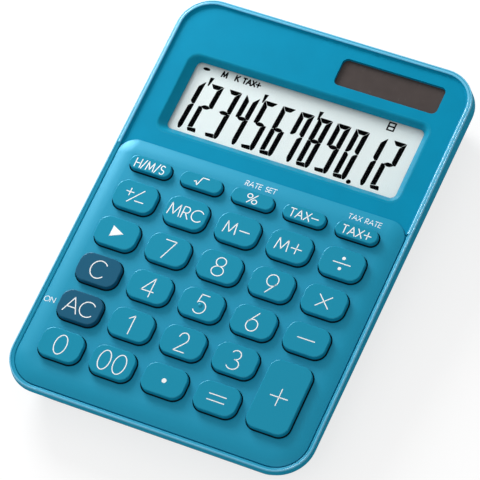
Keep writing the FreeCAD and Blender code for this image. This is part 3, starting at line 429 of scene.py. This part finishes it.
# By slot: colour, specular level, lowest and highest roughness. Pearly plastic has its specular level, its
# levels, and a colour and a roughness for each level. Metal has no specular level.
MATERIALS = {
    "case_plastic": pearly("case_plastic", 0.36, CASE_LEVELS, (linear(0, 150, 184), linear(10, 149, 184)),
                           (0.95, 0.38)),
    "panel_plastic": moulded("panel_plastic", linear(0, 140, 178), 0.05, 0.4, 0.5, height=0.002),
    "key_plastic": pearly("key_plastic", KEY_SPECULAR, KEY_PAINTED_SHADOW_LEVELS, (KEY_PAINTED_SHADOW, linear(14, 146, 178)),
                          KEY_ROUGHNESS),
    "navy_key_plastic": pearly("navy_key_plastic", KEY_SPECULAR, KEY_PAINTED_SHADOW_LEVELS,
                               (KEY_PAINTED_SHADOW, linear(20, 91, 122)), KEY_ROUGHNESS),
    "rear_plastic": moulded("rear_plastic", linear(2, 118, 143), 0.1, 0.42, 0.6, grain=0.7, height=0.02),
    "clear_lens": clear_acrylic("clear_lens"),
    "lcd_glass": moulded("lcd_glass", linear(240, 252, 252), 0.2, 0.3, 0.4, height=0.001, spread=0.006),
    "reflector_film": moulded("reflector_film", linear(211, 229, 231), 0.2, 0.5, 0.7, height=0.002,
                              spread=0.01),
    "holder_plastic": moulded("holder_plastic", linear(24, 25, 26), 0.3, 0.4, 0.6),
    "connector_rubber": zebra_rubber("connector_rubber"),
    "solar_glass": moulded("solar_glass", linear(73, 65, 63), 0.2, 0.18, 0.28, grain=2.0, height=0.001,
                           spread=0.05, spots=4.0),
    "tinned_wire": metal("tinned_wire", linear(205, 206, 206), 0.25, 0.4),
    "board_laminate": moulded("board_laminate", linear(150, 108, 58), 0.3, 0.35, 0.55, grain=1.5,
                              spread=0.12),
    "chip_epoxy": moulded("chip_epoxy", linear(16, 16, 17), 0.5, 0.15, 0.3, grain=2.0),
    "capacitor_sleeve": moulded("capacitor_sleeve", linear(20, 24, 42), 0.5, 0.2, 0.3, grain=2.0),
    "dome_silicone": moulded("dome_silicone", linear(196, 199, 197), 0.4, 0.5, 0.7, grain=0.8),
    "screw_steel": metal("screw_steel", linear(168, 169, 172), 0.28, 0.45),
    "cell_steel": metal("cell_steel", linear(205, 205, 202), 0.2, 0.35),
    "contact_metal": metal("contact_metal", linear(206, 203, 196), 0.2, 0.35),
    "foot_rubber": moulded("foot_rubber", linear(30, 30, 32), 0.35, 0.6, 0.85, grain=0.5, height=0.03),
}
PRINT = moulded("print_ink", linear(250, 253, 253), 0.2, 0.5, 0.7, height=0.001, spread=0.01)
BEVEL = moulded("panel_bevel", linear(6, 142, 176), 0.1, 0.3, 0.4, height=0.002)
# Painted highlight: the rim's bead and land are a lighter blue than the case, standing in for light along the rim;
# the low roughness is real gloss
RIM_PAINTED_HIGHLIGHT = moulded("rim_gloss_painted_highlight", linear(100, 194, 230), 0.6, 0.15, 0.25, height=0.001)
FIGURE_INK = moulded("figure_ink", linear(2, 2, 3), 0.0, 0.5, 0.7, height=0.001)


# Shapes

def spread_of(points):
    """The lowest and the highest corner of the box round some points."""
    low = Vector(tuple(min(point[axis] for point in points) for axis in range(3)))
    high = Vector(tuple(max(point[axis] for point in points) for axis in range(3)))
    return low, high


def key_top(name):
    """Middle of a key's top face and half its length each way."""
    points = slab_points(name)
    top = max(point.z for point in points)
    low, high = spread_of([point for point in points if top - point.z < LEVEL_TOLERANCE])
    return (low + high) / 2, (high - low) / 2


def piece(name, mesh, body, material):
    """An object from a bmesh drawn in the slab's frame, riding on a body."""
    data = bpy.data.meshes.new(name)
    mesh.transform(SLAB @ Matrix.Scale(MM, 4))
    mesh.to_mesh(data)
    mesh.free()
    data.materials.append(material)
    made = bpy.data.objects.new(name, data)
    bpy.context.scene.collection.objects.link(made)
    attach(made, body)
    return made


def outline(middle, half_x, half_y, corner, turns=ALL_CORNERS):
    """Points round a rectangle with round corners, or along some of its corners."""
    points = []
    for turn in turns:
        side_x, side_y = ((1, 1), (-1, 1), (-1, -1), (1, -1))[turn]
        x = middle.x + side_x * (half_x - corner)
        y = middle.y + side_y * (half_y - corner)
        for step in range(CORNER_STEPS + 1):
            angle = math.radians(90 * (turn + step / CORNER_STEPS))
            points.append((x + corner * math.cos(angle), y + corner * math.sin(angle)))
    return points


def ring(mesh, middle, half_x, half_y, corner, level):
    """Vertices round a rectangle with round corners."""
    return [mesh.verts.new((*place, level)) for place in outline(middle, half_x, half_y, corner)]


def bridge(mesh, rings):
    """Skins a stack of rings, from the lowest to the highest, and closes both ends."""
    count = len(rings[0])
    for lower, upper in zip(rings, rings[1:]):
        for index in range(count):
            following = (index + 1) % count
            mesh.faces.new((lower[index], lower[following], upper[following], upper[index]))
    mesh.faces.new(rings[-1])
    mesh.faces.new(rings[0][::-1])


def moulding(name, bars, closed, material):
    """Fixed bars; each is rows of points along it, one row for each corner of its profile."""
    mesh = bmesh.new()
    for rows in bars:
        lines = [[mesh.verts.new(place) for place in row] for row in rows]
        count = len(lines[0])
        for line, beside in zip(lines, lines[1:] + lines[:1]):
            for index in range(count if closed else count - 1):
                after = (index + 1) % count
                mesh.faces.new((line[index], line[after], beside[after], beside[index]))
        if not closed:
            mesh.faces.new([line[0] for line in lines])
            mesh.faces.new([line[-1] for line in lines])
    bmesh.ops.recalc_face_normals(mesh, faces=mesh.faces)
    for face in mesh.faces:
        face.smooth = True
    made = piece(name, mesh, "case", material)
    made.data.set_sharp_from_angle(angle=SHARP_ANGLE)


def rim_mouldings():
    """The bead on the wall, the land and the cove beside the panel, and a shoulder in the deck's groove; the bead
    and land carry a painted highlight.
    """
    panel_low, panel_high = spread_of(slab_points("display_panel"))
    top = panel_high.z + RIM_RISE
    flat = [point for point in slab_points("front_case") if abs(point.z - top) < LEVEL_TOLERANCE]
    low, high = spread_of(flat)
    middle, half = (low + high) / 2, (high - low) / 2

    def row(out, rise, turns, wider=0.0):
        centre = middle + Vector((wider / 2, 0, 0))
        points = outline(centre, half.x + out - wider / 2, half.y + out, RIM_CORNER + out, turns)
        if turns != ALL_CORNERS:
            points = [(points[0][0], panel_low.y), *points, (points[-1][0], panel_low.y)]
        return [(*place, top + rise) for place in points]
    bead = [row(*step, ALL_CORNERS) for step in arc(*BEAD, 0, 180) + list(BEAD_FOOT)]
    moulding("rim_bead", [bead], True, RIM_PAINTED_HIGHLIGHT)
    land = [row(*step, BACK_CORNERS) for step in LAND]
    moulding("rim_land", [land], False, RIM_PAINTED_HIGHLIGHT)
    cove = [row(*step, BACK_CORNERS) for step in COVE]
    moulding("panel_cove", [cove], False, MATERIALS["panel_plastic"])
    shoulder = [row(out, rise, FRONT_CORNERS, wider) for out, rise, wider in SHOULDER]
    moulding("rim_shoulder", [shoulder], False, MATERIALS["case_plastic"])


def window_bezel():
    """The bevel down to the display with a rounded outer edge, fitted over the panel's own."""
    top = max(point.z for point in slab_points("display_panel"))
    low, high = spread_of(slab_points("display_lens"))
    middle = (low + high) / 2
    rows = []
    for half_x, half_y, corner, rise, right, away in BEZEL:
        points = outline(middle + Vector((right, away, 0)), half_x, half_y, corner)
        rows.append([(*place, top + rise) for place in points])
    moulding("window_bezel", [rows], True, BEVEL)


def finger_dot(mesh, middle, level):
    """The low dome that a finger feels in the middle of the keys."""
    x, y, radius, height = FINGER_DOT
    made = bmesh.ops.create_uvsphere(mesh, u_segments=DOT_SEGMENTS, v_segments=DOT_RINGS, radius=1.0)["verts"]
    bmesh.ops.scale(mesh, vec=(radius, radius, height), verts=made)
    bmesh.ops.translate(mesh, vec=(middle.x + x, middle.y + y, level), verts=made)


def cap_outline(name):
    """Middle, half lengths and corner of a cap below its top edge."""
    middle, half = key_top(name)
    x = half.x + TOP_CHAMFER - CAP_TRIM[0]
    y = half.y + TOP_CHAMFER - CAP_TRIM[1]
    return middle + Vector((*CAP_SHIFT, 0)), x, y, min(CAP_CORNER, y - CORNER_ROOM)


def key_collars():
    """Rings on the deck, one round each key, that follow its surface."""
    ground = ground_of("front_case")
    gap = CAP_LEAN + OPENING_GAP
    reach = TOP_CHAMFER + gap + COLLAR_REACH
    collars = []
    for name in LEGENDS:
        middle, half = key_top(name)
        x, y = half.x + reach, half.y + reach
        outer = outline(middle, x, y, min(CAP_CORNER + reach, y - CORNER_ROOM))
        middle, x, y, corner = cap_outline(name)
        inner = outline(middle, x + gap, y + gap, corner + gap)
        levels = [ground(place) for place in outer]
        profile = ((outer, -COLLAR_DEPTH / 2), (outer, COLLAR_RISE),
                   (inner, COLLAR_RISE), (inner, -COLLAR_DEPTH))
        collars.append([[(*place, level + rise) for place, level in zip(places, levels)]
                        for places, rise in profile])
    moulding("key_collars", collars, True, MATERIALS["case_plastic"])


def key_cap(name):
    """A key with a leaning wall and a rolled top edge, on its retaining flange."""
    middle, x, y, corner = cap_outline(name)
    base = middle.z - CAP_HEIGHT
    steps = [(FLANGE_REACH, base - FLANGE_THICKNESS), (FLANGE_REACH, base), (CAP_LEAN, base)]
    for step in range(ROLL_STEPS + 1):
        angle = math.pi / 2 * step / ROLL_STEPS
        steps.append((ROLL_IN * (math.cos(angle) - 1), middle.z + ROLL_DOWN * (math.sin(angle) - 1)))
    steps.append((-ROLL_IN - HOLDING_RING, middle.z))
    mesh = bmesh.new()
    bridge(mesh, [ring(mesh, middle, x + out, y + out, corner + out, level) for out, level in steps])
    if name == "key_5":
        finger_dot(mesh, middle, middle.z)
    for face in mesh.faces:
        face.smooth = True
    slot = next(row["material_slot"] for row in frame["record"]["subparts"] if row["node"] == name)
    made = piece(f"{name}_cap", mesh, name, MATERIALS[slot])
    made.data.set_sharp_from_angle(angle=SHARP_ANGLE)
    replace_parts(made, name)


# Prints

def ribbon(points, half):
    """Outlines of a stroke with round ends, as a list of polygons; a single point gives a disc."""
    closed = len(points) > 2 and math.dist(points[0], points[-1]) < CLOSED_WITHIN
    places = [Vector(point) for point in (points[:-1] if closed else points)]
    count = len(places)
    ends = []
    sides = []
    for index, place in enumerate(places):
        before = places[index - 1] if closed or index else place
        after = places[(index + 1) % count] if closed or index < count - 1 else place
        along = ((place - before).normalized() + (after - place).normalized()).normalized()
        across = Vector((-along.y, along.x))
        reach = half
        if before != place and after != place:
            beside = Vector((before.y - place.y, place.x - before.x)).normalized()
            reach = half / max(across.dot(beside), MITRE_LIMIT)
        sides.append((place + across * reach, place - across * reach))
    spans = list(zip(sides, sides[1:] + sides[:1])) if closed else list(zip(sides, sides[1:]))
    polygons = [(first[0], first[1], second[1], second[0]) for first, second in spans]
    if closed:
        return polygons
    for place, toward in ((places[0], places[0] - places[min(1, count - 1)]),
                          (places[-1], places[-1] - places[max(count - 2, 0)])):
        turn = math.atan2(toward.y, toward.x)
        sweep, start = (math.pi, turn - math.pi / 2) if count > 1 else (2 * math.pi, 0.0)
        steps = CAP_STEPS if count > 1 else 4 * CAP_STEPS
        ends.append([place + Vector((half * math.cos(start + sweep * step / steps),
                                     half * math.sin(start + sweep * step / steps)))
                     for step in range(steps + 1 if count > 1 else steps)])
    return polygons + (ends if count > 1 else ends[:1])


def word(text, x, y, width, height, stroke):
    """Polygons of a word that fills a box around its middle, strokes included."""
    if text == ".":
        return ribbon([(x, y)], width / 2)
    if text == ">":
        return [[Vector((x - width / 2, y - height / 2)), Vector((x + width / 2, y)),
                 Vector((x - width / 2, y + height / 2))]]
    spaces = LETTER_SPACE * (len(text) - 1)
    total = sum(GLYPHS[letter][0] for letter in text) + spaces
    stretch = (width - stroke) / total
    tall = height - stroke
    left = x - (width - stroke) / 2
    polygons = []
    for letter in text:
        wide, strokes = GLYPHS[letter]
        for points in strokes:
            placed = [(left + px * wide * stretch, y + (py - 0.5) * tall) for px, py in points]
            polygons += ribbon(placed, stroke / 2)
        left += (wide + LETTER_SPACE) * stretch
    return polygons


def printed(name, polygons, body, material, level):
    """A thin raised print of flat polygons; level gives the height of its ground at a point."""
    mesh = bmesh.new()
    for polygon in polygons:
        face = mesh.faces.new([mesh.verts.new((place[0], place[1], level(place) + PRINT_LIFT))
                               for place in polygon])
        if face.calc_area() and face.normal.z < 0:
            face.normal_flip()
    bmesh.ops.remove_doubles(mesh, verts=mesh.verts, dist=MERGE_WITHIN)
    bmesh.ops.recalc_face_normals(mesh, faces=mesh.faces)
    for face in mesh.faces:
        if face.normal.z < 0:
            face.normal_flip()
    made = piece(name, mesh, body, material)
    sheet = made.modifiers.new("thickness", "SOLIDIFY")
    sheet.thickness = PRINT_THICKNESS * MM
    sheet.offset = -1.0
    return made


def ground_of(name):
    """How high a node stands at a point of the slab."""
    corners = slab_points(name)
    faces = [tuple(face.vertices) for face in frame["nodes"][name].data.polygons]
    tree = BVHTree.FromPolygons(corners, faces)
    above = max(corner.z for corner in corners) + RAY_START

    def level(place):
        return tree.ray_cast(Vector((place[0], place[1], above)), Vector((0, 0, -1)))[0].z
    return level


def shifted(polygons, middle):
    """Polygons moved from around a middle to the place of that middle on the slab."""
    return [[Vector((place[0] + middle.x, place[1] + middle.y)) for place in polygon] for polygon in polygons]


def key_legends():
    """The signs on the caps, which ride on their keys."""
    for name, words in LEGENDS.items():
        middle, _ = key_top(name)
        polygons = []
        for text, x, y, width, height in words:
            polygons += word(text, x, y, width, height, STROKE)
        printed(f"{name}_legend", shifted(polygons, middle), name, PRINT, lambda place: middle.z)


def deck_words():
    """The words beside some keys, laid on the deck."""
    level = ground_of("front_case")
    for text, key, x, y, width, height in DECK_WORDS:
        middle, _ = key_top(key)
        polygons = shifted(word(text, x, y, width, height, SMALL_STROKE), middle)
        printed("deck_word_" + text.lower().replace(" ", "_"), polygons, "case", PRINT, level)


# Display figures

def segment_shapes():
    """The seven segments of a figure around its middle, as upright polygons."""
    x = FIGURE_WIDTH / 2
    y = FIGURE_HEIGHT / 2
    wide = SEGMENT_WIDTH
    gap = SEGMENT_GAP
    inner = x - wide
    slope = LEVEL_WIDTH / (wide - LEVEL_REACH)
    reach = inner + LEVEL_REACH - gap
    top = [(-x + gap * TOP_GAPS, y), (x - gap * TOP_GAPS, y), (reach, y - LEVEL_WIDTH),
           (-reach, y - LEVEL_WIDTH)]
    tip = wide * BAR_TIP
    thick = wide * BAR_HALF
    bar = [(-x + tip + gap, 0), (-inner, thick), (inner, thick),
           (x - tip - gap, 0), (inner, -thick), (-inner, -thick)]
    bottom = [(-x, -y + SOLE_LEFT), (inner - gap, -y + SOLE_RIGHT), (inner + TOE - gap, -y), (-x + TOE, -y)]

    def side(turn_x, turn_y, end):
        foot = BAR_RISE * turn_y
        points = [(x, foot + gap), (x - wide / 2, foot + gap * FOOT_GAPS),
                  (inner, foot + wide / 2 + gap)] + end
        return [(px * turn_x, py * turn_y) for px, py in points]
    mitre = [(inner, y - wide * slope - gap), (x, y + gap)]
    square = [(inner, y - SOLE_RIGHT), (x, y - SOLE_LEFT - gap * SOLE_GAPS)]
    heel = [(inner, y - SOLE_RIGHT), (inner + TOE, y), (x - HEEL[0], y), (x, y - HEEL[1])]
    return {"a": top, "g": [(px, py + BAR_RISE) for px, py in bar], "d": bottom, "b": side(1, 1, mitre),
            "c": side(1, -1, heel), "f": side(-1, 1, mitre), "e": side(-1, -1, square)}


def eased(polygon, cut):
    """A polygon with its corners cut off, each by a bounded part of its sides."""
    count = len(polygon)
    points = []
    for index, corner in enumerate(polygon):
        for other in (polygon[index - 1], polygon[(index + 1) % count]):
            side = other - corner
            points.append(corner + side.normalized() * min(cut, side.length * EASE_MOST))
    return points


def display_figures():
    """The figures and signs on the display's front glass, as one print."""
    low, high = spread_of(slab_points("lcd_front_glass"))
    middle = (low + high) / 2
    shapes = segment_shapes()
    polygons = []
    for cell, figure in enumerate(FIGURES):
        x = FIRST_CELL + cell * CELL_PITCH
        for segment in SEGMENTS[figure]:
            shape = [Vector((x + px + py * FIGURE_SLANT, FIGURE_MIDDLE + py)) for px, py in shapes[segment]]
            polygons.append(eased(shape, SEGMENT_EASE))
    polygons += [[Vector((x + px, py)) for px, py in COMMA] for x in COMMAS]
    polygons.append([Vector(place) for place in arc(*SIGN_OVAL, 0, 360)[:-1]])
    for mark in INDICATORS:
        polygons += word(*mark, INDICATOR_STROKE)
    made = printed("lcd_figures", shifted(polygons, middle), "case", FIGURE_INK, lambda place: high.z)


def window_lens():
    """The clear window over the display, a hair above its glass."""
    low, high = spread_of(slab_points("display_lens"))
    middle, half = (low + high) / 2, (high - low) / 2
    mesh = bmesh.new()
    bridge(mesh, [ring(mesh, middle, half.x, half.y, LENS_CORNER, level)
                  for level in (low.z + LENS_CLEARANCE, high.z)])
    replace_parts(piece("window_lens", mesh, "case", MATERIALS["clear_lens"]), "display_lens")


# Stage

def camera():
    """A long lens from the photograph's place, turned as the photograph is."""
    data = bpy.data.cameras.new("camera")
    data.lens = CAMERA_LENS
    data.sensor_fit = "HORIZONTAL"
    eye = bpy.data.objects.new("camera", data)
    right, up, back = (Vector(axis).normalized() for axis in CAMERA_AXES)
    turn = Matrix((right, up, back)).transposed().to_4x4()
    eye.matrix_world = Matrix.Translation((Vector(CAMERA_AIM) + back * CAMERA_DISTANCE) * MM) @ turn
    bpy.context.scene.collection.objects.link(eye)
    bpy.context.scene.camera = eye


def lamp(name, place, size, power):
    """A round soft light that faces the origin."""
    data = bpy.data.lights.new(name, "AREA")
    data.shape = "DISK"
    data.size = size
    data.energy = power
    made = bpy.data.objects.new(name, data)
    made.location = place
    made.rotation_euler = Vector(place).to_track_quat("Z", "Y").to_euler()
    bpy.context.scene.collection.objects.link(made)


def seen_factor(tree):
    """1 for rays that show the background: straight from the camera, or by way of gloss or glass."""
    path = tree.nodes.new("ShaderNodeLightPath")
    source = path.outputs["Is Camera Ray"]
    for other in ("Is Glossy Ray", "Is Transmission Ray"):
        both = tree.nodes.new("ShaderNodeMath")
        both.operation = "MAXIMUM"
        tree.links.new(source, both.inputs[0])
        tree.links.new(path.outputs[other], both.inputs[1])
        source = both.outputs[0]
    return source


def surroundings():
    """A plain studio, brighter on the side of the key light."""
    world = bpy.data.worlds.new("studio")
    world.use_nodes = True
    bpy.context.scene.world = world
    tree = world.node_tree
    place = tree.nodes.new("ShaderNodeTexCoord")
    along = tree.nodes.new("ShaderNodeVectorMath")
    along.operation = "DOT_PRODUCT"
    along.inputs[1].default_value = BRIGHT_SIDE
    tree.links.new(place.outputs["Generated"], along.inputs[0])
    turn = tree.nodes.new("ShaderNodeMapRange")
    turn.inputs["From Min"].default_value = -1.0
    tree.links.new(along.outputs["Value"], turn.inputs["Value"])
    shade = tree.nodes.new("ShaderNodeValToRGB")
    tree.links.new(turn.outputs["Result"], shade.inputs["Fac"])
    for stop, level in zip(shade.color_ramp.elements, (WORLD_DARK, WORLD_BRIGHT)):
        stop.color = (level, level, level, 1.0)
    tree.links.new(shade.outputs["Color"], tree.nodes["Background"].inputs["Color"])


def floor():
    """A white table top that keeps a soft shadow under the case."""
    mesh = bmesh.new()
    bmesh.ops.create_grid(mesh, x_segments=1, y_segments=1, size=FLOOR_HALF)
    data = bpy.data.meshes.new("floor")
    mesh.to_mesh(data)
    mesh.free()
    made = bpy.data.objects.new("floor", data)
    bpy.context.scene.collection.objects.link(made)
    surface = Surface("floor_white", Specular_IOR_Level=0.0, Roughness=0.9)
    surface.mottle(linear(236, 236, 236), size=400.0, spread=0.005)
    tree = surface.tree
    veil = surface.node("ShaderNodeBsdfDiffuse", {"Color": FLOOR_VEIL})
    glow = surface.node("ShaderNodeEmission", {"Color": WHITE, "Strength": FLOOR_GLOW})
    total = surface.node("ShaderNodeAddShader")
    tree.links.new(veil.outputs[0], total.inputs[0])
    tree.links.new(glow.outputs[0], total.inputs[1])
    mix = surface.node("ShaderNodeMixShader")
    tree.links.new(seen_factor(tree), mix.inputs["Fac"])
    tree.links.new(surface.shader.outputs[0], mix.inputs[1])
    tree.links.new(total.outputs[0], mix.inputs[2])
    tree.links.new(mix.outputs[0], tree.nodes["Material Output"].inputs["Surface"])
    data.materials.append(surface.material)


# Dressing

for row in frame["record"]["subparts"]:
    node = frame["nodes"][row["node"]]
    node.data.materials.clear()
    node.data.materials.append(MATERIALS[row["material_slot"]])

for key in LEGENDS:
    key_cap(key)
key_collars()
key_legends()
deck_words()
display_figures()
window_lens()
window_bezel()
rim_mouldings()

bpy.context.scene.view_settings.view_transform = "Standard"
camera()
surroundings()
for settings in LAMPS:
    lamp(*settings)
floor()
